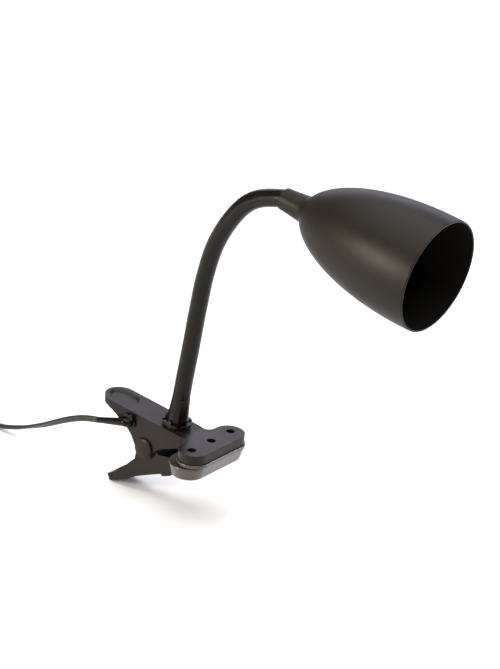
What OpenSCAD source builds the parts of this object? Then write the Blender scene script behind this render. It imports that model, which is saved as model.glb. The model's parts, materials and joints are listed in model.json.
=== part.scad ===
// Clip-on reading lamp: spring clamp, gooseneck, bullet shade, mains lead with inline switch and plug.
// +Z up, +X the way the jaws point, +Y across the jaws. The origin is the middle of the grip plane.

/* [Jaws] */
// Width of the upper jaw across the wings
jaw_w = 58; // [50:0.5:70]
// Radius of the rounded wings of the upper jaw
jaw_r = 10.4; // [8:0.1:12]
// Radius of the hollow corners between the upper jaw and its arm
jaw_corner = 5; // [4:0.1:7]
// How far the middle of the wings lies ahead of the row of holes
jaw_x = 0.4; // [0:0.1:2]
// Height of the upper jaw's walls
jaw_h = 6.5; // [5:0.1:9]
// Diameter of the three holes for the pad's pegs
hole_d = 6; // [4:0.1:8]
// Distance between two neighbouring holes
hole_pitch = 20.5; // [16:0.1:24]
// Thickness of the soft pad under the upper jaw
pad_t = 2.5; // [1.5:0.1:4]
// Length of the pegs that hold the pad in the holes
peg_l = 2.2; // [1.5:0.1:5]
// How far the pad stands proud of the upper jaw all round
pad_lip = 1; // [0.4:0.1:2]
// Gap that the closed jaws leave between the two pads
grip_gap = 0.4; // [0.2:0.1:2]
// Thickness of the soft boot on the lower jaw
boot_t = 9; // [7:0.1:12]
// Radius of the boot's rounded wings
boot_r = 13.6; // [12:0.1:15]
// How much narrower the boot's wings are at the bottom
boot_taper = 2.6; // [0:0.1:3]
// How far the boot's wings lie behind the row of holes
boot_back = 2.8; // [2:0.1:6]
// Wall of the boot round the lower jaw's plate
boot_wall = 3; // [2.6:0.1:4]

/* [Clamp arms] */
// Outer width of the upper arm
arm_w = 22.7; // [20:0.1:30]
// Thickness of the moulded walls of both arms
wall = 2; // [1.5:0.1:2.4]
// Thickness of the upper arm's top plate
plate_t = 2.2; // [1.6:0.1:3]
// Rise of the upper arm towards its handle, in degrees
arm_slope = 5.5; // [4:0.1:6.5]
// Distance from the row of holes back to the end of the upper handle
handle_x = 88; // [84:0.5:96]
// Gap between the side walls of the two arms
nest_gap = 0.35; // [0.3:0.05:0.6]
// Distance from the row of holes back to the pivot
pivot_x = 46.2; // [46:0.1:47]
// Depth of the pivot below the grip plane
pivot_z = 9.2; // [8.8:0.1:9.6]
// Diameter of the pivot pin
pin_d = 4; // [3:0.1:5]
// Diameter of the pin's domed heads
head_d = 14; // [11:0.1:15]
// Thickness of the pin's domed heads
head_t = 2.6; // [1.5:0.1:4]
// Radial clearance of the lower arm on the pin
run_gap = 0.05; // [0.02:0.01:0.1]
// Length of the thumb recess
thumb_l = 22.5; // [18:0.5:27]
// Width of the thumb recess
thumb_w = 14.2; // [10:0.1:17]
// Depth of the thumb recess
thumb_depth = 1.2; // [0.6:0.1:1.5]
// Distance from the end of the handle to the thumb recess
thumb_edge = 2.2; // [2:0.1:6]

/* [Gooseneck] */
// Distance from the row of holes back to the foot of the gooseneck
neck_x = 29.1; // [28:0.1:30]
// Height of the foot of the gooseneck above the grip plane
neck_z = 12; // [11.8:0.1:12.4]
// Outer diameter of the sleeve
sleeve_d = 11.8; // [10:0.1:12.2]
// Outer diameter of the steel hose in the sleeve
hose_d = 8.4; // [7:0.1:9]
// Bore of the hose for the lead
hose_bore = 5; // [4:0.1:6]
// Clearance at the ball joints between the hose links
ball_gap = 0.3; // [0.3:0.05:0.5]
// Diameter of the threaded ferrules at both ends of the gooseneck
ferrule_d = 10; // [9:0.1:11]
// How far the boot's foot stands out from the sleeve
foot_flare = 1.5; // [0.8:0.1:1.8]
// Height of the boot
foot_h = 20; // [10:0.5:24]
// Gap between the boot's foot and the socket ring
socket_gap = 0.8; // [0.4:0.1:1.5]
// Width of the socket ring's rim
socket_rim = 1.8; // [1.4:0.1:2.4]

/* [Shade] */
// Largest outer diameter of the shade
shade_d = 74.2; // [65:0.1:85]
// How far behind the mouth the shade is widest
mouth_close = 9; // [0:0.5:20]
// Length of the rounded part of the shade
bell_l = 100.5; // [90:0.1:110]
// Wall of the shade
shade_wall = 1; // [0.8:0.1:2]
// Length of the collar behind the rounded part
collar_l = 19; // [17:0.5:26]
// Wall of the collar round the sleeve where it meets the shade
collar_front_wall = 3.3; // [2:0.1:4]
// Wall of the collar round the sleeve at its back end
collar_back_wall = 1.4; // [0.9:0.1:1.8]
// Downward tilt of the shade, in degrees
shade_tilt = 7; // [0:1:15]
// Outer diameter of the lamp holder
holder_d = 25; // [22:0.5:28]
// Length of the lamp holder's body
holder_l = 40; // [36:1:46]
// Inner radius of the E14 screw shell
shell_r = 6.9; // [6.7:0.1:7.2]
// Length of the E14 screw shell
shell_l = 20; // [16:1:24]

/* [Mains lead] */
// Diameter of the plain tube that stands for the flex
flex_tube_d = 3; // [2.6:0.1:3.2]
// Radius of the coil at the middle of its turns
coil_r = 25; // [22:0.5:28]
// Length of the inline switch
switch_l = 60; // [50:1:70]
// Width of the inline switch
switch_w = 23; // [20:1:28]
// Height of the inline switch
switch_h = 17; // [14:1:22]
// Length of the plug's body
plug_l = 35; // [30:1:42]
// Distance between the plug's two pins
plug_pitch = 19; // [18:0.1:20]
// Diameter of a plug pin
plug_pin_d = 4; // [3.8:0.1:4.2]
// Length of a plug pin
plug_pin_l = 19; // [17:0.5:20]

/* [Hidden] */
$fn = 64;
eps = 0.01;                                  // overlap that closes a cut
fit = 0.05;                                  // clearance of pieces pressed or seated in one body
jaw_top = grip_gap / 2 + pad_t + jaw_h;
jaw_bottom = grip_gap / 2 + pad_t;
wing_y = jaw_w / 2 - jaw_r;
half_w = arm_w / 2;
inner_w = half_w - wall - nest_gap;          // half width of the lower arm
cheek_bite = 0.5;                            // how far the hollow corners cut into the cheeks
slope_x = -15.3;                             // where the upper arm's slope starts
floor_z = -45;                               // what the foot of the lamp and the lead lie on
pivot = [-pivot_x, 0, -pivot_z];

// side outline of the upper arm, X and Z, anticlockwise from the jaw
arm_rise = tan(arm_slope);
handle_top = jaw_top + (handle_x + slope_x) * arm_rise;
upper_side = [
    [-8, jaw_bottom], [-8, jaw_top], [slope_x, jaw_top], [-handle_x, handle_top],
    [-handle_x, handle_top - 5], [-83.5, 11], [-79, 10.3], [-75.7, 9], [-71.5, 6.6], [-67.7, 3.9],
    [-61, -0.4], [-57.5, -4], [-54.7, -9], [-51, -16], [-41, -16], [-38.4, -10], [-33, -5.4],
    [-21.6, -0.7], [-14, jaw_bottom]];
// side outline of the lower arm
lower_side = [
    [-77.2, -40.3], [-74.8, -44.6], [-68.5, -42.2], [-62, -39.2], [-58.2, -36.9], [-52.9, -33.5],
    [-46, -30.2], [-32.3, -24.1], [-31.1, -25.5], [-24.7, -22.8], [-24.7, -20.5], [-15, -16],
    [-7.3, -12.4], [-7.3, -jaw_bottom - 0.6], [-16.5, -jaw_bottom - 0.6], [-22.9, -9.7],
    [-35.8, -11.3], [-39.5, -6], [-52.8, -6], [-54.4, -13], [-55, -20.8], [-66.8, -33.4], [-71.1, -36.5]];

// gooseneck: straight lengths, bends and the small turns between the links, in degrees
link_l = [28, 28, 28, 28, 26, 27, 20, 22];
link_bend = [0, 0, 0, 0, 15, 13, 22, 27];
link_turn = [0, 1.5, -0.5, 1.7, 0, 0, 0, 0];
links = len(link_l);
foot = [-neck_x, 0, neck_z];
start_gap = 1.05;                            // the base ferrule's flange below the first link
ball_step = 0.15;                            // how far the half ball stands in from the hose's wall
function link_dir(i) = i == 0 ? arm_slope : link_dir(i - 1) + link_bend[i - 1] + link_turn[i];
function bend_r(i) = link_l[i] / (link_bend[i] * PI / 180);
function chord(i) = link_bend[i] == 0 ? link_l[i] : 2 * bend_r(i) * sin(link_bend[i] / 2);
function chord_dir(i) = link_dir(i) + link_bend[i] / 2;
function along(a) = [sin(a), 0, cos(a)];
function link_pos(i) = i == 0 ? foot : link_pos(i - 1) + chord(i - 1) * along(chord_dir(i - 1));
socket_d = sleeve_d + 2 * (foot_flare + socket_gap + socket_rim);
neck_end = link_pos(links - 1) + chord(links - 1) * along(chord_dir(links - 1));

// shade: an ellipse turned about the axis, cut off at the collar and a little past its widest place
shade_r = shade_d / 2;
collar_r = sleeve_d / 2 + collar_front_wall;
collar_back_r = sleeve_d / 2 + collar_back_wall;
bell_top = acos(collar_r / shade_r);
ellipse_l = (bell_l - mouth_close) / sin(bell_top);
bell_end = -asin(mouth_close / ellipse_l);
shade_l = collar_l + bell_l;
web_t = 4;                                   // web between collar and shade that the ferrule passes
bell_steps = 22;

// lead: points chosen along its way from the strain relief to the switch
lead_z = floor_z + 1.5;
grommet = [-58.5, -half_w, 5.5];
relief_end = [-83, -half_w - 3.65, -0.6];
lead_y = -4;
lead_pts = [
    relief_end, [-93, -15, -3], [-103, -14.5, -6.9], [-113, -13.5, -12], [-123, -12, -17.9],
    [-133, -10, -23.8], [-143, -7.5, -29.3], [-154, -5.5, -34.8], [-165, -4.5, -39.3], [-177, lead_y, -42.8],
    [-190, lead_y, lead_z], [-196, lead_y, lead_z]];
switch_start = -196;                         // X where the lead enters the switch's relief
switch_relief_l = 8;
rocker_tilt = 7;
switch_end = switch_start - switch_l - 2 * switch_relief_l;
coil_half = 4.7;                             // half the radial width of the bundle of turns
coil_low = 0.9;                              // the tie's band under the bundle
coil_h = 11.4;
coil_out = coil_r + 2.3;                     // radius of the outer turns
coil_at = [-304, lead_y - coil_out, floor_z];
mid_pts = [
    [switch_end, lead_y, lead_z], [-280, lead_y, lead_z], [-288, lead_y, lead_z], [-296, lead_y, lead_z],
    [coil_at[0], lead_y, floor_z + 2.6]];
plug_start = [-254, -45, floor_z + 6.6];
end_pts = [
    [coil_at[0], coil_at[1] - coil_out, floor_z + 11], [-292, -58.3, floor_z + 10.8],
    [-280, -54.8, floor_z + 9.4], [-270, -50.3, floor_z + 7.6], [-262, -46.8, floor_z + 6.7], plug_start];
plug_relief_l = 20;

plastic = "#3a342f";
dark = "#1d1b1a";
soft = "#4a3b33";
steel = "#8d8f92";
brass = "#b08d4a";

// ---- shared shapes ----

module side_plate(outline, w) {
    rotate([90, 0, 0]) translate([0, 0, -w]) linear_extrude(2 * w) polygon(outline);
}

module across(r, w) {
    rotate([90, 0, 0]) cylinder(r = r, h = 2 * w, center = true);
}

// the jaw's wings seen from above, r is their radius and y the place of their centres
module wings(r, y, x) {
    for (s = [-1, 1]) translate([x, s * y]) circle(r);
    translate([x - r, -y]) square([2 * r, 2 * y]);
}

// the upper jaw from above, with hollow corners towards the arm
module upper_jaw_plan() {
    corner = jaw_corner;
    wings(jaw_r, wing_y, jaw_x);
    difference() {
        translate([slope_x, -half_w - corner]) square([-slope_x + jaw_x - jaw_r + eps, arm_w + 2 * corner]);
        for (s = [-1, 1]) translate([jaw_x - jaw_r - corner, s * (half_w + corner)]) circle(corner);
        for (s = [-1, 1]) translate([slope_x - eps, s * (half_w + corner) - corner])
            square([jaw_x - jaw_r - corner - slope_x + eps, 2 * corner]);
    }
}

module arm_plan(inset) {
    r = half_w - inset;
    translate([-handle_x + half_w, 0]) circle(r);
    translate([-handle_x + half_w, -r]) square([handle_x - half_w - 8 - inset, 2 * r]);
}

module at_holes() {
    for (i = [-1, 0, 1]) translate([0, i * hole_pitch, 0]) children();
}

// a frame on the arm's sloping top, at the foot of the gooseneck
module at_foot() {
    translate(foot) rotate([0, arm_slope, 0]) children();
}

module at_shade() {
    translate(neck_end) rotate([0, 90 + shade_tilt, 0]) children();
}

// tube swept along points, ref is a direction the path never runs in
function unit(v) = v / norm(v);
function tangent(p, i) = unit(p[min(i + 1, len(p) - 1)] - p[max(i - 1, 0)]);
module sweep(p, r, sides, ref) {
    n = len(p);
    ring = [for (i = [0:n - 1]) let (t = tangent(p, i), a = unit(cross(ref, t)), b = cross(t, a))
        for (k = [0:sides - 1]) p[i] + r * (cos(360 * k / sides) * a + sin(360 * k / sides) * b)];
    skin = [for (i = [0:n - 2]) for (k = [0:sides - 1]) let (m = (k + 1) % sides)
        [i * sides + k, (i + 1) * sides + k, (i + 1) * sides + m, i * sides + m]];
    polyhedron(ring, concat([[for (k = [0:sides - 1]) k]], skin,
        [[for (k = [sides - 1:-1:0]) (n - 1) * sides + k]]), convexity = 6);
}

// ---- clamp ----

module upper_arm() color(plastic) difference() {
    union() {
        intersection() {
            side_plate(upper_side, half_w);
            translate([0, 0, -30]) linear_extrude(60) arm_plan(0);
        }
        difference() {
            translate([0, 0, jaw_bottom]) linear_extrude(jaw_h) upper_jaw_plan();
            translate([0, 0, jaw_bottom - 1]) linear_extrude(jaw_h - plate_t + 1)
                wings(jaw_r - wall, wing_y, jaw_x);
        }
        at_holes() translate([0, 0, jaw_bottom]) cylinder(r = hole_d / 2 + 1.6, h = jaw_h);
    }
    // the hollow corners run a little into the cheeks
    for (s = [-1, 1]) translate([jaw_x - jaw_r - jaw_corner, s * (half_w + jaw_corner - cheek_bite), -5])
        cylinder(r = jaw_corner, h = 20);
    // hollow of the channel
    difference() {
        translate([0, 0, -30]) linear_extrude(60) intersection() {
            arm_plan(wall);
            translate([-100, -20]) square([100 + jaw_x - jaw_r - wall, 40]);
        }
        translate([slope_x, 0, jaw_top]) rotate([0, arm_slope, 0]) translate([-100, -20, -plate_t])
            cube([101, 40, 30]);
        translate([slope_x - 1, -20, jaw_top - plate_t]) cube([20, 40, 30]);
    }
    at_holes() translate([0, 0, jaw_bottom - 1]) cylinder(r = hole_d / 2, h = jaw_h + 2);
    translate(pivot) across(pin_d / 2 + fit / 2, half_w + 1);
    at_foot() translate([0, 0, -8]) cylinder(r = socket_d / 2 - 2.4, h = 16);
    // hole in the near wall for the grommet
    translate(grommet) rotate([90, 0, 0]) cylinder(r = 3, h = 8, center = true);
    thumb_recess();
}

// long hollow with round ends and sloping sides
module thumb_recess() {
    slope = 1.6;
    top_r = thumb_w / 2;
    low_r = top_r - thumb_depth * slope;
    reach = thumb_l / 2 - top_r;
    up = 1;
    up_r = top_r + up * slope;
    translate([slope_x, 0, jaw_top]) rotate([0, arm_slope, 0])
        translate([thumb_edge + thumb_l / 2 - handle_x - slope_x, 0, -thumb_depth]) {
            for (s = [-1, 1]) translate([s * reach, 0, 0])
                cylinder(r1 = low_r, r2 = up_r, h = thumb_depth + up);
            rotate([90, 0, 90]) linear_extrude(2 * reach, center = true)
                polygon([[-low_r, 0], [low_r, 0], [up_r, thumb_depth + up], [-up_r, thumb_depth + up]]);
        }
}

module lower_arm() {
    plate_z = -jaw_bottom - 0.6;
    color(plastic) difference() {
        union() {
            side_plate(lower_side, inner_w);
            translate(pivot) across(7.5, inner_w);
            translate([0, 0, plate_z - 4]) linear_extrude(4) wings(boot_r - boot_wall, wing_y, -boot_back);
        }
        // hollow of the channel, open to the top
        difference() {
            translate([0, 0, wall]) side_plate(concat([for (i = [1:10]) lower_side[i]],
                [[-18, -15.5], [-18, 20], [-90, 20]]), inner_w - wall);
            translate([-80, -20, -60]) cube([4.6, 40, 22]);
        }
        translate(pivot) across(pin_d / 2 + run_gap, inner_w + 1);
    }
}

module upper_pad() color(soft) {
    translate([0, 0, grip_gap / 2]) linear_extrude(pad_t - fit) wings(jaw_r + pad_lip, wing_y, jaw_x);
    at_holes() translate([0, 0, jaw_bottom - 1]) cylinder(r = hole_d / 2 - fit, h = peg_l + 1);
}

module lower_pad() {
    plate_z = -jaw_bottom - 0.6;
    color(soft) difference() {
        translate([-boot_back, 0, -grip_gap / 2 - boot_t]) {
            low_r = boot_r - boot_taper;
            for (s = [-1, 1]) translate([0, s * wing_y, 0]) cylinder(r1 = low_r, r2 = boot_r, h = boot_t);
            side_plate([[-low_r, 0], [low_r, 0], [boot_r, boot_t], [-boot_r, boot_t]], wing_y);
        }
        translate([0, 0, plate_z - 4 - fit]) linear_extrude(4 + 2 * fit)
            wings(boot_r - boot_wall + fit, wing_y, -boot_back);
        // slot at the back that the lower arm comes through
        translate([-40, -inner_w - fit, -20]) cube([40 - 7.3 + fit, 2 * (inner_w + fit), 20 + plate_z + fit]);
    }
}

module dome(d, t) {
    rise = t * 0.45;
    r = (d * d / 4 + rise * rise) / (2 * rise);
    rotate_extrude() intersection() {
        square([d / 2, t]);
        translate([0, t - r]) circle(r, $fn = 128);
    }
}

module pivot_pin() color(plastic) translate(pivot) {
    across(pin_d / 2, half_w + fit);
    translate([0, -half_w - fit, 0]) rotate([90, 0, 0]) dome(head_d, head_t);
    translate([0, half_w, 0]) rotate([-90, 0, 0]) cylinder(r = pin_d / 2, h = 1.6);
}

module pivot_cap() color(plastic) translate(pivot) translate([0, half_w + fit, 0])
    rotate([-90, 0, 0]) difference() {
        dome(head_d, head_t);
        translate([0, 0, -1]) cylinder(r = pin_d / 2 + fit / 2, h = 2.6 + fit);
    }

module jaw_spring() {
    turns = 4;
    r = 4.4;
    wire = 1.4;
    steps = 12;
    pitch = 1.7;
    top_leg = 142;
    low_leg = 250;
    sweep_a = turns * 360 + low_leg - top_leg;
    n = ceil(sweep_a / 360 * steps);
    coil = [for (i = [0:n]) let (a = top_leg - 90 + sweep_a * i / n)
        [r * cos(a), pitch * (turns / 2 + 0.15 - sweep_a * i / n / 360), r * sin(a)]];
    legs = [coil[0] + 27 * [cos(top_leg), 0, sin(top_leg)],
        coil[n] + 20.5 * [cos(low_leg), 0, sin(low_leg)]];
    color(steel) translate(pivot) sweep(concat([legs[0]], coil, [legs[1]]), wire / 2, 8, [0, 1, 0]);
}

module neck_socket() color(plastic) at_foot() {
    r = socket_d / 2;
    difference() {
        union() {
            translate([0, 0, 0.5]) cylinder(r = r, h = 1.4);
            translate([0, 0, -1.3]) cylinder(r = r - 0.8, h = 2);
            translate([0, 0, -3.4]) cylinder(r = r - 2.4 - fit, h = 2.2);
        }
        translate([0, 0, -0.1]) cylinder(r = r - socket_rim, h = 3);
        translate([0, 0, -5]) cylinder(r = ferrule_d / 2 + fit, h = 8);
        for (a = [45:90:315]) rotate([0, 0, a]) translate([0, -1.3, 0.3]) cube([r + 1, 2.6, 3]);
    }
    // pointed snap tabs between the slots
    for (a = [0:90:270]) rotate([0, 0, a]) translate([r - socket_rim, 1.4, 1.8]) rotate([90, 0, 0])
        linear_extrude(2.8) polygon([[0, 0], [1.5, 0], [0.2, 1.8], [-0.5, 1]]);
}

module neck_boot() color(dark) at_foot() difference() {
    cylinder(r1 = sleeve_d / 2 + foot_flare, r2 = sleeve_d / 2 + 0.3, h = foot_h);
    translate([0, 0, -1]) cylinder(r = sleeve_d / 2 + fit, h = foot_h + 2);
}

module neck_base_ferrule() color(steel) at_foot() difference() {
    union() {
        translate([0, 0, -12]) cylinder(r = ferrule_d / 2, h = 12);
        cylinder(r = sleeve_d / 2 - fit, h = start_gap - fit);
    }
    translate([0, 0, -13]) cylinder(r = hose_bore / 2, h = 16);
}

module neck_washer() color(steel) at_foot() translate([0, 0, -4.7]) difference() {
    cylinder(r = socket_d / 2 - 1.6, h = 1);
    translate([0, 0, -1]) cylinder(r = ferrule_d / 2 + fit, h = 3);
}

module neck_nut() color(steel) at_foot() translate([0, 0, -8.9]) difference() {
    cylinder(r = 8, h = 4, $fn = 6);
    translate([0, 0, -1]) cylinder(r = ferrule_d / 2 + fit, h = 6);
}

// ---- gooseneck ----

// wall of one link: a straight tube, or a bent one that curves forward
module link_wall(i, outer, bore) {
    low = i == 0 ? start_gap : 0;
    if (link_bend[i] == 0) {
        translate([0, 0, low]) rotate_extrude() translate([bore, 0]) square([outer - bore, link_l[i] - low]);
    } else {
        translate([bend_r(i), 0, 0]) rotate([90, 0, 0]) rotate([0, 0, 180 - link_bend[i]])
            rotate_extrude(angle = link_bend[i], $fn = 360) translate([bend_r(i), 0]) difference() {
                circle(outer, $fn = 64);
                circle(bore, $fn = 64);
            }
    }
}

module at_link(i) {
    translate(link_pos(i)) rotate([0, link_dir(i), 0]) children();
}

module link_top(i) {
    translate(chord(i) * along(link_bend[i] / 2)) rotate([0, link_bend[i], 0]) children();
}

// one length of the steel hose, with half a ball at its far end and a cup at its near end
module hose_link(i) {
    r = hose_d / 2;
    color(steel) at_link(i) {
        difference() {
            link_wall(i, r, hose_bore / 2);
            if (i > 0) sphere(r + ball_gap);
        }
        if (i < links - 1) link_top(i) rotate_extrude() intersection() {
            circle(r - ball_step);
            translate([hose_bore / 2 + ball_step, -2 * ball_step]) square(r);
        }
    }
}

module sleeve_link(i) {
    color(dark) at_link(i) difference() {
        link_wall(i, sleeve_d / 2, hose_d / 2 + fit);
        if (i > 0) sphere(sleeve_d / 2 + ball_gap);
    }
}

module neck_top_ferrule() color(steel) at_shade() difference() {
    union() {
        translate([0, 0, 2]) cylinder(r = ferrule_d / 2 + 1, h = collar_l - web_t - 2 - fit);
        translate([0, 0, 2]) cylinder(r = ferrule_d / 2, h = collar_l + 7);
    }
    cylinder(r = hose_bore / 2, h = collar_l + 20);
}

module head_nut() color(steel) at_shade() translate([0, 0, collar_l + 1.7]) difference() {
    cylinder(r = 7.4, h = 3.6, $fn = 6);
    translate([0, 0, -1]) cylinder(r = ferrule_d / 2 + fit, h = 6);
}

// ---- shade and lamp holder ----

function bell(r, l, t) = [r * cos(t), shade_l - mouth_close - l * sin(t)];

module shade() {
    ri = shade_r - shade_wall;
    li = ellipse_l - shade_wall;
    in_end = -asin(mouth_close / li);
    in_top = asin((bell_l - mouth_close - 1) / li);
    bore = sleeve_d / 2 + 0.4;
    color(plastic) at_shade() rotate_extrude(angle = 360) polygon(concat(
        [[bore, 0.3], [collar_back_r - 0.5, 0], [collar_back_r, 0.8], [collar_r, collar_l]],
        [for (k = [1:bell_steps])
            bell(shade_r, ellipse_l, bell_top + (bell_end - bell_top) * k / bell_steps)],
        [for (k = [0:bell_steps]) bell(ri, li, in_end + (in_top - in_end) * k / bell_steps)],
        [[ferrule_d / 2 + fit, collar_l], [ferrule_d / 2 + fit, collar_l - web_t],
         [bore, collar_l - web_t]]));
}

module holder_cap() color(dark) at_shade() translate([0, 0, collar_l + 5.6]) difference() {
    union() {
        cylinder(r1 = 8.2, r2 = holder_d / 2, h = 5.2);
        translate([0, 0, 5.2]) cylinder(r = holder_d / 2, h = 3);
    }
    translate([0, 0, -1]) cylinder(r = ferrule_d / 2 + fit, h = 8);
    translate([0, 0, 3]) cylinder(r = holder_d / 2 - 4, h = 8);
}

module holder_body() color(dark) at_shade() translate([0, 0, collar_l + 13.9]) difference() {
    cylinder(r = holder_d / 2, h = holder_l);
    translate([0, 0, 4]) cylinder(r = shell_r + 0.6 + fit, h = holder_l);
    for (s = [-1, 1]) translate([0, s * 7.5, -1]) cylinder(r = 1.6, h = 6);
}

module screw_shell() color(brass) at_shade() translate([0, 0, collar_l + 33.9]) difference() {
    cylinder(r = shell_r + 0.6, h = shell_l);
    translate([0, 0, -1]) cylinder(r = shell_r, h = shell_l + 2);
}

module centre_contact() color(brass) at_shade() translate([0, 0, collar_l + 17.95]) {
    translate([-5, -2, 0]) cube([10, 4, 0.6]);
    translate([0, 0, 0.6]) cylinder(r = 1.8, h = 6);
}

module holder_terminals() color(brass) at_shade() for (s = [-1, 1])
    translate([-2, s * 5.5 - 1.6, collar_l + 9.4]) cube([4, 3.2, 4.2]);

// the two cores of the lead between the ferrule and the terminals
module head_leads() color(dark) at_shade() for (s = [-1, 1])
    translate([0, s * 1.2, collar_l - 8]) cylinder(r = 0.9, h = 20);

// the lead inside the upper arm, from the grommet to the base ferrule
module clamp_lead() {
    p = [[-58.5, 4.05 - half_w, 5.5], [-56, -3, 5], [-51, 0, 4], [-43, 0, 2.2], [-36, 0, 0.6],
         [-32.5, 0, -3.2]];
    color(dark) sweep(p, 1.3, 8, [0, 0.3, 1]);
}

// flanged grommet in the near wall, an elbow and the tapered strain relief
module cord_grommet() {
    elbow = 3;
    side = relief_end[1] + half_w + elbow;
    color(dark) {
        translate(grommet) {
            rotate([90, 0, 0]) translate([0, 0, -3.6]) cylinder(r = 3 - fit, h = 4);
            rotate([90, 0, 0]) translate([0, 0, fit]) cylinder(r = 4.2, h = 1.2);
            // knuckles of the strain relief's latch above the flange
            rotate([90, 0, 0]) translate([-2.6, 3.6, fit]) cylinder(r = 2.4, h = 2.2);
            rotate([90, 0, 0]) translate([1.2, 4.4, fit]) cylinder(r = 2, h = 3);
            rotate([90, 0, 0]) translate([-5.2, 1.8, fit]) cylinder(r = 1.8, h = 1.6);
            translate([-elbow, side, 0]) rotate_extrude(angle = -90) translate([elbow, 0]) circle(2.9);
        }
        a = grommet + [-elbow, side - elbow, 0];
        v = relief_end - a;
        translate(a) rotate([0, 0, 180]) rotate([0, 90 - asin(v[2] / norm(v)), 0])
            translate([0, 0, -0.4]) cylinder(r1 = 2.9, r2 = 2, h = norm(v) + 0.4);
    }
}

module cord_saddle() color(plastic) translate([-51, 0, 0]) difference() {
    translate([-3, -8, 6.2]) cube([6, 16, 2]);
    for (s = [-1, 1]) translate([0, s * 5.6, 0]) cylinder(r = 1.3, h = 12);
}

module saddle_screws() color(steel) translate([-51, 0, 0]) for (s = [-1, 1]) translate([0, s * 5.6, 0]) {
    translate([0, 0, 4.7]) cylinder(r = 2.3, h = 1.4);
    translate([0, 0, 6]) cylinder(r = 1.2, h = 4.3);
}

// ---- mains lead, switch and plug ----

module cord_lead() color(dark) sweep(lead_pts, flex_tube_d / 2, 8, [0, 0, 1]);
module cord_mid() color(dark) sweep(mid_pts, flex_tube_d / 2, 8, [0, 0, 1]);
module cord_end() color(dark) sweep(end_pts, flex_tube_d / 2, 8, [0, 0, 1]);

module cord_coil() color(dark) translate(coil_at + [0, 0, coil_low]) rotate_extrude()
    translate([coil_r - coil_half, 0]) square([2 * coil_half, coil_h]);

module cord_tie() {
    t = 0.8;
    in = coil_half + 0.9;
    color(dark) translate(coil_at - [coil_r, 0, 0]) rotate([0, 0, 90]) difference() {
        translate([-2.5, -in - t, 0]) cube([5, 2 * (in + t), coil_h + 2 * coil_low]);
        translate([-3, -in, t]) cube([6, 2 * in, coil_h + 2 * (coil_low - t)]);
    }
}

// a frame in the middle of the switch, X along the lead
module at_switch() {
    translate([switch_start - switch_relief_l - switch_l / 2, lead_y, floor_z]) rotate([0, 0, 180])
        children();
}

module switch_plan(inset) {
    l = switch_l / 2 - inset;
    w = switch_w / 2 - inset;
    r = 8;
    for (s = [-1, 1]) for (t = [-1, 1]) translate([s * (l - r), t * (w - r)]) circle(r);
    translate([-l + r, -w]) square([2 * (l - r), 2 * w]);
    translate([-l, -w + r]) square([2 * l, 2 * (w - r)]);
}

module switch_reliefs() color(dark) at_switch() for (s = [0, 180]) rotate([0, 0, s])
    translate([switch_l / 2 + fit, 0, 1.5]) intersection() {
        rotate([0, 90, 0]) cylinder(r1 = 3.6, r2 = 2.4, h = switch_relief_l);
        translate([0, -5, -1.5]) cube([12, 10, 12]);
    }

module switch_base() color(dark) at_switch() difference() {
    linear_extrude(switch_h * 0.45) switch_plan(0);
    translate([0, 0, 2]) linear_extrude(switch_h) switch_plan(2);
    for (s = [-1, 1]) translate([s * 21, 0, -1]) cylinder(r = 1.6, h = 6);
}

module switch_cover() color(dark) at_switch() difference() {
    translate([0, 0, switch_h * 0.45 + fit]) linear_extrude(switch_h * 0.55 - fit) switch_plan(0);
    translate([0, 0, -1]) linear_extrude(switch_h - 1) switch_plan(2);
    translate([-8.5, -5.5, 0]) cube([17, 11, switch_h + 1]);
}

// rocker on a pin across the switch, tilted to its off position
module switch_rocker() color(dark) at_switch() translate([0, 0, switch_h - 4]) rotate([0, -rocker_tilt, 0]) {
    difference() {
        intersection() {
            translate([-8, -5, -2]) cube([16, 10, 9]);
            rotate([90, 0, 0]) cylinder(r = 8, h = 10, center = true);
        }
        translate([0, -6, 12.5]) rotate([-90, 0, 0]) cylinder(r = 9.2, h = 12);
    }
    across(1.5, 7.5);
}

module switch_contacts() color(brass) at_switch() for (s = [-1, 1])
    translate([s * 14 - 2.5, -5, 2.05]) cube([5, 10, 5.5]);

module switch_screws() color(steel) at_switch() for (s = [-1, 1]) translate([s * 21, 0, 0.4]) {
    cylinder(r = 1.5, h = 5.5);
    translate([0, 0, 1.65]) cylinder(r = 2.4, h = 1.2);
}

module plug_relief() color(dark) translate(plug_start) rotate([0, 90, 0])
    cylinder(r1 = 2.4, r2 = 4.2, h = plug_relief_l);

module plug_body() color(dark) translate(plug_start + [plug_relief_l + fit, 0, 0]) {
    w = 26;
    h = 13;
    linear_extrude(h, center = true) polygon([[0, -5], [plug_l * 0.5, -w * 0.36], [plug_l * 0.8, -w / 2],
        [plug_l, -w / 2], [plug_l, w / 2], [plug_l * 0.8, w / 2], [plug_l * 0.5, w * 0.36], [0, 5]]);
}

module plug_pins() color(steel) translate(plug_start + [plug_relief_l + plug_l + 2 * fit, 0, 0])
    for (s = [-1, 1]) translate([0, s * plug_pitch / 2, 0]) rotate([0, 90, 0]) {
        cylinder(r = plug_pin_d / 2, h = plug_pin_l - 0.8);
        translate([0, 0, plug_pin_l - 0.8]) cylinder(r1 = plug_pin_d / 2, r2 = plug_pin_d / 2 - 0.8, h = 0.8);
    }

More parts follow.
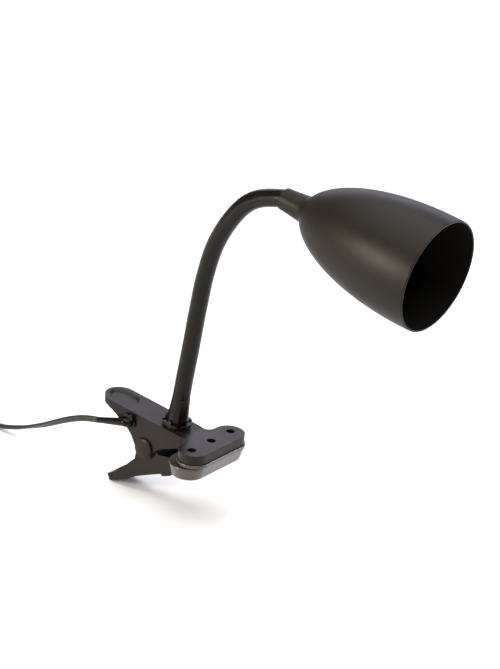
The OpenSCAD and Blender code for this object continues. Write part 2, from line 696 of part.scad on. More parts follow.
upper_arm();
lower_arm();
upper_pad();
lower_pad();
pivot_pin();
pivot_cap();
jaw_spring();
neck_socket();
neck_boot();
neck_base_ferrule();
neck_washer();
neck_nut();
for (i = [0:links - 1]) hose_link(i);
for (i = [0:links - 1]) sleeve_link(i);
neck_top_ferrule();
head_nut();
shade();
holder_cap();
holder_body();
screw_shell();
centre_contact();
holder_terminals();
head_leads();
clamp_lead();
cord_grommet();
cord_saddle();
saddle_screws();
cord_lead();
switch_reliefs();
switch_base();
switch_cover();
switch_rocker();
switch_contacts();
switch_screws();
cord_mid();
cord_coil();
cord_tie();
cord_end();
plug_relief();
plug_body();
plug_pins();
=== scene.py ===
# clip-on reading lamp: the looks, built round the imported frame
# +Z up, +X the way the jaws point, metres throughout
import json
import math

import bpy
from mathutils import Matrix, Vector

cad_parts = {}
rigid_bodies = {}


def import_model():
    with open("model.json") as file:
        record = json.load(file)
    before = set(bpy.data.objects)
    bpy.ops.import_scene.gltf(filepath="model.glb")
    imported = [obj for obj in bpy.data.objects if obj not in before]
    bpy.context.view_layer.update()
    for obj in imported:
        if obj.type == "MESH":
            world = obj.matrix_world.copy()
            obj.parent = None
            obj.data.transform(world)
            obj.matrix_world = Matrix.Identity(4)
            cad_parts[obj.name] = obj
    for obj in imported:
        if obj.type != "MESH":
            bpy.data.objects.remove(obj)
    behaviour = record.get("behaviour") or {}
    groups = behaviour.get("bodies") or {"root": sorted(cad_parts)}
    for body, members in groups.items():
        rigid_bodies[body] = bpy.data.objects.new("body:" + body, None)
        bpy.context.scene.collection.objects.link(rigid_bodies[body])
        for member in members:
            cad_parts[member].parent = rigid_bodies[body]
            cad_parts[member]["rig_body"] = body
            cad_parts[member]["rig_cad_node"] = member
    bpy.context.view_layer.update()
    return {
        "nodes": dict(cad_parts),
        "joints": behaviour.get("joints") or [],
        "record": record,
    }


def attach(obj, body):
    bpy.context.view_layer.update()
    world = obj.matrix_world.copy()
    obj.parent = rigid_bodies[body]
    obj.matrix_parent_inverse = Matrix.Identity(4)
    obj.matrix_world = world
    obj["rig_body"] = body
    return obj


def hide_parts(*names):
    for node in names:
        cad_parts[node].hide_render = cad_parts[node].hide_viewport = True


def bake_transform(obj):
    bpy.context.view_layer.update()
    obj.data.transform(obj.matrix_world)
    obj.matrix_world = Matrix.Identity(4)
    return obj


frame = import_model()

nodes = frame["nodes"]
joints = {j["name"]: j for j in frame["joints"]}
mounts = {m["name"]: m for m in frame["record"]["mounts"]}
mm = 0.001

# camera

view = {
    "azimuth": 35.5,            # degrees round the lamp, from its right-hand side
    "elevation": 24.0,
    "roll": 5.2,
    "distance": 2.0,
    "lens": 164.7,              # mm
    "sensor": 36,               # mm
    "target": (-0.0015, 0.0346, 0.0744),
}


def addCamera():
    az, el, roll = (math.radians(view[k]) for k in ("azimuth", "elevation", "roll"))
    level = Vector((math.cos(az), math.sin(az), 0))
    back = Vector((math.sin(az) * math.cos(el), -math.cos(az) * math.cos(el), math.sin(el)))
    above = back.cross(level)
    right = math.cos(roll) * level + math.sin(roll) * above
    up = back.cross(right)
    turn = Matrix((right, up, back)).transposed()
    data = bpy.data.cameras.new("camera")
    data.lens = view["lens"]
    data.sensor_width = view["sensor"]
    camera = bpy.data.objects.new("camera", data)
    place = Vector(view["target"]) + back * view["distance"]
    camera.matrix_world = Matrix.Translation(place) @ turn.to_4x4()
    bpy.context.scene.collection.objects.link(camera)
    bpy.context.scene.camera = camera


addCamera()
print("camera placed")

# small helpers


def deselectAll():
    if bpy.context.object and bpy.context.object.mode != "OBJECT":
        bpy.ops.object.mode_set(mode="OBJECT")
    bpy.ops.object.select_all(action="DESELECT")


def makeActive(piece):
    deselectAll()
    piece.select_set(True)
    bpy.context.view_layer.objects.active = piece


def applyPlace(piece):
    makeActive(piece)
    bpy.ops.object.transform_apply(location=True, rotation=True, scale=True)


def applyModifiers(piece):
    makeActive(piece)
    for modifier in list(piece.modifiers):
        bpy.ops.object.modifier_apply(modifier=modifier.name)


def smoothByAngle(piece, degrees=35):
    makeActive(piece)
    bpy.ops.object.shade_smooth_by_angle(angle=math.radians(degrees))


def colourOf(hexCode, alpha=1.0):
    # sRGB hex to linear
    parts = [int(hexCode[i:i + 2], 16) / 255 for i in (1, 3, 5)]
    return tuple(p / 12.92 if p <= 0.04045 else ((p + 0.055) / 1.055) ** 2.4 for p in parts) + (alpha,)


def addNode(tree, kind, values=None, links=None, **settings):
    node = tree.nodes.new(kind)
    for key, value in settings.items():
        setattr(node, key, value)
    for key, value in (values or {}).items():
        node.inputs[key].default_value = value
    for key, source in (links or {}).items():
        tree.links.new(source, node.inputs[key])
    return node


def newMaterial(name, **sockets):
    material = bpy.data.materials.new(name)
    material.use_nodes = True
    tree = material.node_tree
    shader = tree.nodes["Principled BSDF"]
    for key, value in sockets.items():
        shader.inputs[key.replace("_", " ")].default_value = value
    return material, tree, shader


def patternOn(tree, size, detail):
    # soft noise on the piece's own coordinates, with spots of about this size
    place = addNode(tree, "ShaderNodeTexCoord").outputs["Object"]
    noise = addNode(tree, "ShaderNodeTexNoise", {"Scale": 1 / size, "Detail": detail}, {"Vector": place})
    return noise.outputs["Fac"]


def vary(tree, pattern, socket, low, high, start=0.3, end=0.7):
    # the pattern takes the socket from one value to the other
    node = addNode(tree, "ShaderNodeValToRGB", links={"Fac": pattern})
    for element, place, colour in zip(node.color_ramp.elements, (start, end), (low, high)):
        element.position = place
        element.color = colour
    tree.links.new(node.outputs["Color"], socket)


def relief(tree, shader, pattern, strength, depth):
    bump = addNode(tree, "ShaderNodeBump", {"Strength": strength, "Distance": depth}, {"Height": pattern})
    tree.links.new(bump.outputs["Normal"], shader.inputs["Normal"])


def grey(value):
    return (value, value, value, 1)


def paint(piece, material):
    piece.data.materials.clear()
    piece.data.materials.append(material)


# materials


def mouldedAbs():
    # injection-moulded ABS from a spark-eroded tool: satin brown-black, soft wide highlights
    material, tree, shader = newMaterial("brown-black moulded ABS", IOR=1.54, Specular_IOR_Level=0.2)
    cloud = patternOn(tree, 16.7 * mm, 3)
    vary(tree, cloud, shader.inputs["Base Color"], colourOf("#17100b"), colourOf("#1c140f"))
    vary(tree, cloud, shader.inputs["Roughness"], grey(0.34), grey(0.41))
    # eroded grain of about 0.25 mm, drawn at 0.4 mm so that it shows
    relief(tree, shader, patternOn(tree, 0.4 * mm, 1), 0.12, 0.04 * mm)
    return material


def smokyPvc():
    # plasticised PVC, injection moulded: smoky brown, lets a little light through, wet-looking gloss
    material, tree, shader = newMaterial("smoky soft PVC", IOR=1.53, Roughness=0.24, Transmission_Weight=0.08,
                                         Coat_Weight=0.5, Coat_Roughness=0.12)
    cloud = patternOn(tree, 11.1 * mm, 2)
    vary(tree, cloud, shader.inputs["Base Color"], colourOf("#2f251d"), colourOf("#41352b"))
    relief(tree, shader, cloud, 0.15, 0.1 * mm)
    return material


def sleevePvc():
    # extruded black PVC hose: deep gloss with a faint drawn texture
    material, tree, shader = newMaterial("black glossy PVC sleeve", IOR=1.54, Specular_IOR_Level=0.17)
    cloud = patternOn(tree, 6.7 * mm, 2)
    vary(tree, cloud, shader.inputs["Base Color"], colourOf("#0b0705"), colourOf("#110c09"))
    vary(tree, cloud, shader.inputs["Roughness"], grey(0.2), grey(0.3))
    relief(tree, shader, cloud, 0.15, 0.2 * mm)
    return material


def stoveEnamel():
    # enamelled spun steel: satin bronze-black, so the highlight is broad and edgeless
    material, tree, shader = newMaterial("satin bronze-black stove enamel", IOR=1.5, Specular_IOR_Level=0.18)
    cloud = patternOn(tree, 28.6 * mm, 3)
    vary(tree, cloud, shader.inputs["Base Color"], colourOf("#18130d"), colourOf("#1c1711"))
    vary(tree, cloud, shader.inputs["Roughness"], grey(0.4), grey(0.46))
    # orange peel of about 0.8 mm
    relief(tree, shader, patternOn(tree, 0.8 * mm, 1), 0.08, 0.03 * mm)
    return material


def paintedShadeInnerEnamel():
    # a darker, matt copy of the lamp shade's enamel for its inside faces: painted shade for the deep hollow,
    # with nearly no highlight
    material, tree, shader = newMaterial("matt black inner enamel, painted shade", IOR=1.5, Roughness=0.7,
                                         Specular_IOR_Level=0.12)
    cloud = patternOn(tree, 20 * mm, 2)
    vary(tree, cloud, shader.inputs["Base Color"], colourOf("#13100e"), colourOf("#191512"))
    relief(tree, shader, cloud, 0.1, 0.1 * mm)
    return material


def drawnSteel(name, base, rough, grit):
    # bare steel, drawn or turned: grey with fine scratches that spread the highlight
    material, tree, shader = newMaterial(name, Metallic=1.0)
    scratch = patternOn(tree, grit, 2)
    vary(tree, scratch, shader.inputs["Base Color"], colourOf(base), colourOf("#b4b5b6"), end=0.75)
    vary(tree, scratch, shader.inputs["Roughness"], grey(rough), grey(rough + 0.12))
    return material


def pressedBrass():
    # pressed brass strip: warm yellow, slightly tarnished in patches
    material, tree, shader = newMaterial("pressed brass", Metallic=1.0)
    tarnish = patternOn(tree, 5 * mm, 3)
    vary(tree, tarnish, shader.inputs["Base Color"], colourOf("#8a6a35"), colourOf("#c9a75a"))
    vary(tree, tarnish, shader.inputs["Roughness"], grey(0.4), grey(0.25))
    return material


def blackPlastic(name, dark, light, rough, grainSize):
    # black moulded housing: even colour, and a fine grain, drawn coarse, that dulls the highlight
    material, tree, shader = newMaterial(name, IOR=1.54)
    grain = patternOn(tree, grainSize, 2)
    vary(tree, grain, shader.inputs["Base Color"], colourOf(dark), colourOf(light))
    vary(tree, grain, shader.inputs["Roughness"], grey(rough), grey(rough + 0.08))
    relief(tree, shader, grain, 0.1, 0.05 * mm)
    return material


finish = {
    "clamp": mouldedAbs(),
    "pad": smokyPvc(),
    "sleeve": sleevePvc(),
    "shade": stoveEnamel(),
    # the inside faces get a darker copy of the enamel: painted shade
    "inside": paintedShadeInnerEnamel(),
    "hose": drawnSteel("satin drawn steel", "#8c8e90", 0.32, 1.11 * mm),
    "spring": drawnSteel("bright spring wire", "#9a9c9e", 0.22, 0.67 * mm),
    "brass": pressedBrass(),
    "holder": blackPlastic("matt black thermoset", "#151313", "#1e1b1a", 0.5, 0.56 * mm),
    "cord": blackPlastic("black PVC flex", "#161413", "#1e1b1a", 0.34, 1.43 * mm),
    "switch": blackPlastic("black glossy thermoplastic", "#161413", "#1c1a19", 0.22, 0.83 * mm),
    "rocker": blackPlastic("polished rocker plastic", "#1c1917", "#26221f", 0.14, 0.67 * mm),
}
print("materials made:", len(finish))

# mains cord: route, flat twin flex, coil

flex = {
    "width": 4.4 * mm,
    "core": 1.3 * mm,           # radius of one insulated core
    "section": 2 * mm,          # between sections of the lead
    "coilSection": 2.4 * mm,
    "toSwitch": 0.13,           # length in metres from the clamp to the switch
    "toPlug": 1.26,             # and from the switch to the plug
    "coilCentre": (-0.304, -0.0313),
    "outerTurn": 27.3 * mm,
    "innerTurn": 22.7 * mm,
    "layers": (-0.0424, -0.0396, -0.0368, -0.034),
    "turnSteps": 24,
}

leadRoute = [
    (-0.083, -0.015, -0.0006), (-0.093, -0.015, -0.003), (-0.103, -0.0145, -0.0069),
    (-0.113, -0.0135, -0.012), (-0.123, -0.012, -0.0179), (-0.133, -0.010, -0.0238),
    (-0.143, -0.0075, -0.0293), (-0.154, -0.0055, -0.0348), (-0.165, -0.0045, -0.0393),
    (-0.177, -0.004, -0.0428), (-0.190, -0.004, -0.0435), (-0.196, -0.004, -0.0435)]
midRoute = [(-0.272, -0.004, -0.0435), (-0.280, -0.004, -0.0435), (-0.288, -0.004, -0.0435),
            (-0.296, -0.004, -0.0432)]
endRoute = [(-0.292, -0.0583, -0.0342), (-0.280, -0.0548, -0.0356), (-0.270, -0.0503, -0.0374),
            (-0.262, -0.0468, -0.0383), (-0.254, -0.045, -0.0384)]


def coilTurns():
    # seven and a half turns in four layers, two side by side, wound from the floor up
    cx, cy = flex["coilCentre"]
    out, inn = flex["outerTurn"], flex["innerTurn"]
    low, second, third, top = flex["layers"]
    radii = [out, inn, inn, out, out, inn, inn, out]
    heights = [low, low, second, second, third, third, top, top]
    points = []
    steps = flex["turnSteps"]
    for step in range(steps * 15 // 2 + 1):
        turn, part = step // steps, step % steps / steps
        # the last quarter of each turn crosses to the next turn's place
        change = max(0.0, (part - 0.75) / 0.25)
        change = change * change * (3 - 2 * change)
        following = min(turn + 1, 7)
        radius = radii[turn] + (radii[following] - radii[turn]) * change
        height = heights[turn] + (heights[following] - heights[turn]) * change
        angle = 2 * math.pi * part + math.pi / 2
        points.append((cx + radius * math.cos(angle), cy + radius * math.sin(angle), height))
    return points


def smoothRoute(points, spacing):
    # passes through every point, with even sections between them
    line = [Vector(p) for p in points]
    result = [line[0]]
    for i in range(len(line) - 1):
        a, b = line[i], line[i + 1]
        before = line[i - 1] if i else a * 2 - b
        after = line[i + 2] if i + 2 < len(line) else b * 2 - a
        count = max(2, math.ceil((b - a).length / spacing))
        for k in range(1, count + 1):
            t = k / count
            result.append(0.5 * (2 * a + (b - before) * t + (2 * before - 5 * a + 4 * b - after) * t * t
                                 + (3 * a - before - 3 * b + after) * t ** 3))
    return result


def routeLength(points):
    return sum((b - a).length for a, b in zip(points, points[1:]))


def twinProfile():
    # outline of two insulated cores side by side, joined by a thin web
    data = bpy.data.curves.new("flexOutline", "CURVE")
    data.dimensions = "2D"
    offset = flex["width"] / 2 - flex["core"]
    corners = []
    for side in (1, -1):
        for degrees in range(-140, 141, 20):
            angle = math.radians(degrees)
            corners.append((side * (offset + flex["core"] * math.cos(angle)),
                            side * flex["core"] * math.sin(angle)))
    spline = data.splines.new("POLY")
    spline.points.add(len(corners) - 1)
    for point, (x, y) in zip(spline.points, corners):
        point.co = (x, y, 0, 1)
    spline.use_cyclic_u = True
    outline = bpy.data.objects.new("flexOutline", data)
    bpy.context.scene.collection.objects.link(outline)
    return outline


def flatFlex(name, route, tilts):
    outline = twinProfile()
    data = bpy.data.curves.new(name, "CURVE")
    data.dimensions = "3D"
    data.twist_mode = "Z_UP"
    data.bevel_mode = "OBJECT"
    data.bevel_object = outline
    data.use_fill_caps = True
    spline = data.splines.new("POLY")
    spline.points.add(len(route) - 1)
    for point, place, tilt in zip(spline.points, route, tilts):
        point.co = (*place, 1)
        point.tilt = tilt
    piece = bpy.data.objects.new(name, data)
    bpy.context.scene.collection.objects.link(piece)
    makeActive(piece)
    bpy.ops.object.convert(target="MESH")
    piece = bpy.context.object
    bpy.data.objects.remove(outline)
    bpy.ops.object.mode_set(mode="EDIT")
    bpy.ops.mesh.select_all(action="SELECT")
    bpy.ops.mesh.remove_doubles(threshold=1e-6)
    bpy.ops.mesh.normals_make_consistent(inside=False)
    bpy.ops.object.mode_set(mode="OBJECT")
    smoothByAngle(piece, 50)
    paint(piece, finish["cord"])
    return piece


leadLine = smoothRoute(leadRoute, flex["section"])
# on edge where it leaves the clamp, flat by the time it lies down
leadTilts = [math.pi / 2 * max(0.0, min(1.0, (p.x + 0.160) / 0.060)) for p in leadLine]
leadCord = flatFlex("mainsCordToSwitch", leadLine, leadTilts)
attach(leadCord, "clamp")
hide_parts("cord_lead")

coilLine = smoothRoute(midRoute + coilTurns() + endRoute, flex["coilSection"])
coilCord = flatFlex("mainsCordCoil", coilLine, [0.0] * len(coilLine))
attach(coilCord, "clamp")
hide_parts("cord_mid", "cord_coil", "cord_end")
print("cords: %.3f m to the switch, %.3f m on to the plug" % (routeLength(leadLine), routeLength(coilLine)))

# copies of the moulded parts, with worked edges


edgeWork = {
    "bevelFrom": 32,            # degrees: sharper edges are rounded
    "flatWithin": 0.6,          # degrees: faces this close to one plane are joined
}


def workedCopy(node, name, material, edge, segments, smooth):
    source = nodes[node]
    piece = source.copy()
    piece.data = source.data.copy()
    piece.name = name
    piece.parent = None
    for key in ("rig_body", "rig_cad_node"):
        if key in piece:
            del piece[key]
    bpy.context.scene.collection.objects.link(piece)
    makeActive(piece)
    bpy.ops.mesh.customdata_custom_splitnormals_clear()
    bpy.ops.object.mode_set(mode="EDIT")
    bpy.ops.mesh.select_all(action="SELECT")
    bpy.ops.mesh.remove_doubles(threshold=2e-6)
    bpy.ops.mesh.dissolve_limited(angle_limit=math.radians(edgeWork["flatWithin"]))
    bpy.ops.object.mode_set(mode="OBJECT")
    bevel = piece.modifiers.new("edges", "BEVEL")
    bevel.width = edge
    bevel.segments = segments
    bevel.limit_method = "ANGLE"
    bevel.angle_limit = math.radians(edgeWork["bevelFrom"])
    bevel.miter_outer = "MITER_ARC"
    applyModifiers(piece)
    smoothByAngle(piece, smooth)
    flats = piece.modifiers.new("flats", "WEIGHTED_NORMAL")
    flats.keep_sharp = True
    applyModifiers(piece)
    paint(piece, material)
    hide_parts(node)
    return piece


# for each part: name, finish, edge radius, bevel segments, smoothing angle, body and slot
workedParts = {
    "upper_arm": ("upperArm", "clamp", 0.35 * mm, 3, 24, "clamp", "clamp_plastic"),
    "lower_arm": ("lowerArm", "clamp", 0.4 * mm, 3, 28, "lower_arm", "clamp_plastic"),
    "upper_pad": ("upperPad", "pad", 0.8 * mm, 3, 40, "clamp", "pad_pvc"),
    "lower_pad": ("lowerPad", "pad", 0.7 * mm, 4, 40, "lower_arm", "pad_pvc"),
    "neck_socket": ("neckSocket", "clamp", 0.2 * mm, 2, 40, "clamp", "clamp_plastic"),
    "pivot_pin": ("pivotPin", "clamp", 0.5 * mm, 3, 40, "clamp", "clamp_plastic"),
    "pivot_cap": ("pivotCap", "clamp", 0.5 * mm, 3, 40, "clamp", "clamp_plastic"),
    "cord_grommet": ("cordGrommet", "sleeve", 0.6 * mm, 3, 40, "clamp", "cord_pvc"),
    "switch_base": ("switchBase", "switch", 0.9 * mm, 3, 40, "clamp", "switch_plastic"),
    "switch_cover": ("switchCover", "switch", 1.6 * mm, 3, 40, "clamp", "switch_plastic"),
    "switch_rocker": ("switchRocker", "rocker", 0.5 * mm, 3, 40, "rocker", "rocker_plastic"),
    "switch_reliefs": ("switchReliefs", "cord", 0.4 * mm, 3, 40, "clamp", "cord_pvc"),
    "plug_body": ("plugBody", "switch", 2.2 * mm, 3, 40, "clamp", "switch_plastic"),
    "plug_pins": ("plugPins", "hose", 0.3 * mm, 3, 40, "clamp", "hose_steel"),
    "plug_relief": ("plugRelief", "cord", 0.4 * mm, 3, 40, "clamp", "cord_pvc"),
    "cord_tie": ("cordTie", "switch", 0.3 * mm, 3, 40, "clamp", "switch_plastic"),
}
worked = {}
for node, (name, key, edge, segments, smooth, body, slotName) in workedParts.items():
    worked[node] = workedCopy(node, name, finish[key], edge, segments, smooth)
    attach(worked[node], body)
print("parts worked:", len(worked))

switchParts = [worked[k] for k in ("switch_base", "switch_cover", "switch_rocker", "switch_reliefs")]
switchParts += [nodes["switch_contacts"], nodes["switch_screws"]]

# shade: turned from rings


def turnedPiece(name, profile, sides, place):
    # profile is (radius, height) pairs along the piece's own axis
    radius, height = profile[0]
    deselectAll()
    bpy.ops.mesh.primitive_circle_add(vertices=sides, radius=radius, location=(0, 0, height))
    piece = bpy.context.object
    piece.name = name
    applyPlace(piece)
    bpy.ops.object.mode_set(mode="EDIT")
    bpy.ops.mesh.select_all(action="SELECT")
    for (r0, z0), (r1, z1) in zip(profile, profile[1:]):
        bpy.ops.mesh.extrude_edges_move(TRANSFORM_OT_translate={"value": (0, 0, z1 - z0)})
        bpy.ops.transform.resize(value=(r1 / r0, r1 / r0, 1), center_override=(0, 0, z1))
    bpy.ops.mesh.select_all(action="SELECT")
    bpy.ops.mesh.remove_doubles(threshold=1e-6)
    bpy.ops.mesh.normals_make_consistent(inside=False)
    bpy.ops.object.mode_set(mode="OBJECT")
    piece.matrix_world = place
    applyPlace(piece)
    return piece


socket = mounts["lamp_socket"]
shadeAxis = Vector(socket["axis"]).normalized()
shade = {
    "tilt": 7.0,
    "widest": 37.1 * mm,
    "closing": 9.0 * mm,        # the shade is widest this far behind its mouth
    "bellLength": 100.5 * mm,
    "collarLength": 19.0 * mm,
    "collarFront": 9.2 * mm,
    "collarBack": 7.3 * mm,
    "collarHollow": 1.35,       # above 1, the collar runs into the bell in a soft hollow
    "bore": 6.3 * mm,           # for the sleeve
    "web": 4 * mm,              # thickness of the web between the collar and the bell
    "webBore": 5.2 * mm,
    "wall": 1.0 * mm,
    "lip": 0.65 * mm,           # radius of the rolled rim
    "rings": 44,
    "socketHeight": 62.9 * mm,  # of the lamp socket's mount above the collar's back end
}
shadePlace = Matrix.Translation(Vector(socket["pos_m"]) - shadeAxis * shade["socketHeight"])
shadePlace = shadePlace @ Matrix.Rotation(math.radians(90 + shade["tilt"]), 4, "Y")


def shadeProfile():
    s = shade
    length = s["collarLength"] + s["bellLength"]
    waist = length - s["closing"]
    lean = math.acos(s["collarFront"] / s["widest"])
    semi = (s["bellLength"] - s["closing"]) / math.sin(lean)
    end = -math.asin(s["closing"] / semi)
    lip = s["lip"]
    outer = [(s["bore"], 1.2 * mm), (s["bore"] + 0.15 * mm, 0.15 * mm), (s["collarBack"] - 0.45 * mm, 0.0),
             (s["collarBack"] - 0.12 * mm, 0.2 * mm), (s["collarBack"] + 0.02 * mm, 0.8 * mm)]
    swell = s["collarFront"] - s["collarBack"]
    outer += [(s["collarBack"] + swell * (k / 10) ** s["collarHollow"], s["collarLength"] * k / 10)
              for k in range(1, 10)]
    steps = s["rings"]
    for k in range(1, steps):
        t = lean + (end - lean) * (k / steps) ** 1.25
        outer.append((s["widest"] * math.cos(t), waist - semi * math.sin(t)))
    # the last of the outside, the rolled rim, and the way back in
    centre = (s["widest"] * math.cos(end) - lip, length - lip)
    outer = [p for p in outer if p[1] < centre[1] - 0.6 * mm]
    rim = [(centre[0] + lip * math.cos(a), centre[1] + lip * math.sin(a))
           for a in [math.radians(d) for d in range(-10, 191, 25)]]
    inner = []
    innerRadius = s["widest"] - s["wall"]
    innerSemi = semi - s["wall"]
    last = math.asin((s["bellLength"] - s["closing"] - 1 * mm) / innerSemi)
    for k in range(0, steps + 1):
        t = end * 0.7 + (last - end * 0.7) * k / steps
        inner.append((innerRadius * math.cos(t), waist - innerSemi * math.sin(t)))
    webBack = s["collarLength"] - s["web"]
    inner += [(s["webBore"], s["collarLength"] + 0.1 * mm), (s["webBore"], webBack), (s["bore"], webBack),
              (s["bore"], 1.2 * mm)]
    return outer + rim + inner


def makeShade():
    piece = turnedPiece("shade", shadeProfile(), 128, shadePlace)
    smoothByAngle(piece, 45)
    paint(piece, finish["shade"])
    piece.data.materials.append(finish["inside"])
    inverse = shadePlace.inverted()
    mouth = shade["collarLength"] + shade["bellLength"]
    # faces that look at the axis, behind the rim, are the inside, and take the darker enamel that paints the
    # hollow's shade
    for face in piece.data.polygons:
        at = inverse @ face.center
        out = inverse.to_3x3() @ face.normal
        away = out.x * at.x + out.y * at.y
        if away < 0 and at.z < mouth - 1.2 * mm:
            face.material_index = 1
    return piece


lampShade = makeShade()
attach(lampShade, "head")
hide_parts("shade")
print("shade turned")

# gooseneck sleeve: one skin from mid-link to mid-link over each joint

sleeve = {
    "radius": 5.9 * mm,
    "wall": 1.3 * mm,
    "foot": (-0.0291, 0, 0.012),
    "footLean": 5.0,            # degrees forward
    "section": 1.2 * mm,
    "ridge": 0.0045,            # height of the faint rings, as a share of the radius
    "ridgePitch": 5.6 * mm,
    "bendShare": 0.45,          # of a hose link's length, on each side of its joint
}


def tubeAlong(name, line, radii, sides=12):
    data = bpy.data.curves.new(name, "CURVE")
    data.dimensions = "3D"
    data.bevel_depth = 1.0
    data.bevel_resolution = sides
    spline = data.splines.new("POLY")
    spline.points.add(len(line) - 1)
    for point, place, radius in zip(spline.points, line, radii):
        point.co = (*place, 1)
        point.radius = radius
    piece = bpy.data.objects.new(name, data)
    bpy.context.scene.collection.objects.link(piece)
    makeActive(piece)
    bpy.ops.object.convert(target="MESH")
    piece = bpy.context.object
    bpy.ops.object.mode_set(mode="EDIT")
    bpy.ops.mesh.select_all(action="SELECT")
    bpy.ops.mesh.remove_doubles(threshold=1e-6)
    bpy.ops.mesh.normals_make_consistent(inside=False)
    bpy.ops.object.mode_set(mode="OBJECT")
    return piece


neckJoints = ["neck_lean", "neck_sway", "neck_lean_2", "neck_sway_2", "neck_bow", "neck_bow_2", "neck_bow_3"]
knots = [Vector(sleeve["foot"])] + [Vector(joints[j]["pos_m"]) for j in neckJoints]
neckEnd = shadePlace.translation
knots.append(neckEnd)


def neckLine():
    # the foot points along the arm's normal and the top enters the collar, so both ends get a lead-in point
    lean = math.radians(sleeve["footLean"])
    start = knots[0] - Vector((math.sin(lean), 0, math.cos(lean))) * 20 * mm
    inside = neckEnd + shadeAxis * 8 * mm
    return smoothRoute([start] + knots + [inside], sleeve["section"])


def neckSkins():
    line = neckLine()
    reach = [0.0]
    for a, b in zip(line, line[1:]):
        reach.append(reach[-1] + (b - a).length)

    def pointAt(s):
        i = max(k for k in range(len(line) - 1) if reach[k] <= s + 1e-9)
        return line[i].lerp(line[i + 1], min(1.0, (s - reach[i]) / (reach[i + 1] - reach[i])))

    def radiusAt(s):
        # faint rings of uneven depth
        wave = 0.5 - 0.5 * math.cos(2 * math.pi * s / sleeve["ridgePitch"])
        return sleeve["radius"] * (1 - sleeve["ridge"] * (0.6 + 0.4 * math.sin(s * 830)) * wave ** 3)

    marks = [reach[min(range(len(line)), key=lambda i: (line[i] - k).length)] for k in knots]
    cuts = [marks[0]] + [(a + b) / 2 for a, b in zip(marks, marks[1:])] + [reach[-1]]
    pieces = []
    for i, (low, high) in enumerate(zip(cuts, cuts[1:])):
        count = math.ceil((high - low) / sleeve["section"])
        places = [low + (high - low) * k / count for k in range(count + 1)]
        radii = [radiusAt(s) for s in places]
        piece = tubeAlong("neckSleeve%d" % (i + 1), [pointAt(s) for s in places], radii)
        wall = piece.modifiers.new("wall", "SOLIDIFY")
        wall.thickness = sleeve["wall"]
        wall.offset = -1
        applyModifiers(piece)
        smoothByAngle(piece, 50)
        paint(piece, finish["sleeve"])
        pieces.append(piece)
    return pieces


skins = neckSkins()
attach(skins[0], "clamp")
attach(skins[8], "head")
for i in range(7):
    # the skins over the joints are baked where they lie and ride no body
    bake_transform(skins[i + 1])
for i, piece in enumerate(skins):
    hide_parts("sleeve_%d" % min(i + 1, 8))
print("neck sleeve made in", len(skins), "skins")

# boot at the sleeve's foot

boot = {
    "footRadius": 7.4 * mm,
    "topRadius": 6.05 * mm,
    "bore": 5.95 * mm,
    "height": 20 * mm,
    "slope": 5.5,               # degrees forward
    "edge": 0.3 * mm,
}


def makeBoot():
    b = boot
    slim = b["topRadius"] - b["footRadius"]
    outer = [(b["footRadius"] - b["edge"], 0.0), (b["footRadius"], b["edge"])]
    for t in [k / 12 for k in range(1, 13)]:
        outer.append((b["footRadius"] + slim * (1 - (1 - t) ** 1.15),
                      b["edge"] + (b["height"] - 0.9 * mm) * t))
    outer += [(b["topRadius"] - 0.08 * mm, b["height"] - 0.25 * mm), (b["topRadius"] - 0.2 * mm, b["height"])]
    bore = [(b["bore"], b["height"]), (b["bore"], 0.0), (b["footRadius"] - b["edge"], 0.0)]
    place = Matrix.Translation(Vector(sleeve["foot"])) @ Matrix.Rotation(math.radians(b["slope"]), 4, "Y")
    piece = turnedPiece("neckBoot", outer + bore, 64, place)
    smoothByAngle(piece, 45)
    paint(piece, finish["sleeve"])
    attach(piece, "clamp")
    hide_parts("neck_boot")


makeBoot()
print("boot made")

# finishes on the CAD nodes that stay

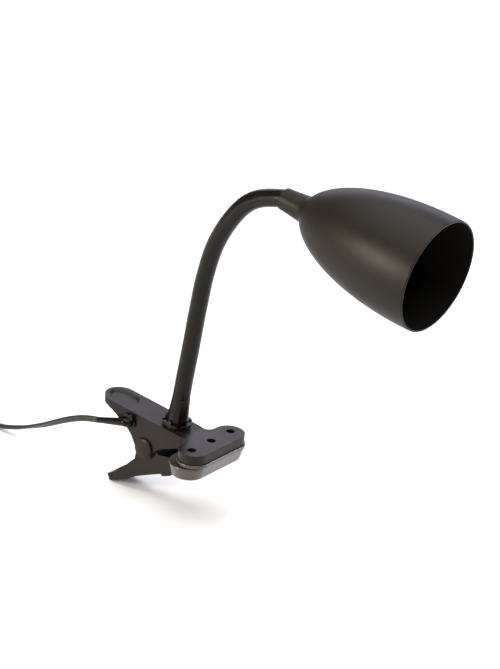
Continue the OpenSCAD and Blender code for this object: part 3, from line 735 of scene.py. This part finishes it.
stayFinish = {
    "hose": ["neck_base_ferrule", "neck_washer", "neck_nut", "neck_top_ferrule", "head_nut"]
    + ["hose_link_%d" % k for k in range(1, 9)],
    "spring": ["jaw_spring", "saddle_screws", "switch_screws"],
    "brass": ["screw_shell", "centre_contact", "holder_terminals", "switch_contacts"],
    "holder": ["holder_cap", "holder_body"],
    "cord": ["head_leads", "clamp_lead"],
    "clamp": ["cord_saddle"],
}
for key, names in stayFinish.items():
    for name in names:
        paint(nodes[name], finish[key])

# floor and light

studio = {
    "floorZ": -0.0453,
    "floorSize": 8,
    "floor": "#fafafa",
    "world": "#f2f4f7",
    "worldStrength": 0.25,
}
# for each softbox: place, target, size, power in watts and tint
softboxes = {
    "overhead softbox": ((0, 0.1, 1.7), (0, 0.1, 0), (2.2, 2.2), 44, "#ffffff"),
    "key softbox": ((-0.75, -1.4, 0.5), (0.03, 0, 0.1), (0.35, 0.6), 26, "#fff0d8"),
    "back softbox": ((-0.75, 1.15, 0.62), (0.03, 0, 0.1), (1.3, 0.5), 5.5, "#e8e6ff"),
    "front softbox": ((0.85, 0.75, 0.1), (0.03, 0, 0.1), (0.5, 0.3), 9, "#dfe4ff"),
}


def addFloor():
    deselectAll()
    bpy.ops.mesh.primitive_plane_add(size=studio["floorSize"], location=(0, 0, studio["floorZ"]))
    floor = bpy.context.object
    floor.name = "floor"
    applyPlace(floor)
    material, tree, shader = newMaterial("pale paper floor", Roughness=0.9)
    shader.inputs["Base Color"].default_value = colourOf(studio["floor"])
    paint(floor, material)


def addSoftbox(name, place, target, size, power, tint):
    data = bpy.data.lights.new(name, "AREA")
    data.color = colourOf(tint)[:3]
    data.shape = "RECTANGLE"
    data.size, data.size_y = size
    data.energy = power
    light = bpy.data.objects.new(name, data)
    way = Vector(place) - Vector(target)
    light.matrix_world = Matrix.Translation(place) @ way.to_track_quat("Z", "Y").to_matrix().to_4x4()
    bpy.context.scene.collection.objects.link(light)


addFloor()
world = bpy.data.worlds.new("pale studio")
bpy.context.scene.world = world
world.use_nodes = True
backdrop = world.node_tree.nodes["Background"]
backdrop.inputs["Color"].default_value = colourOf(studio["world"])
backdrop.inputs["Strength"].default_value = studio["worldStrength"]
for name, settings in softboxes.items():
    addSoftbox(name, *settings)
# keeps near-black plastic and a white floor in one picture
bpy.context.scene.view_settings.view_transform = "Standard"
print("studio set")
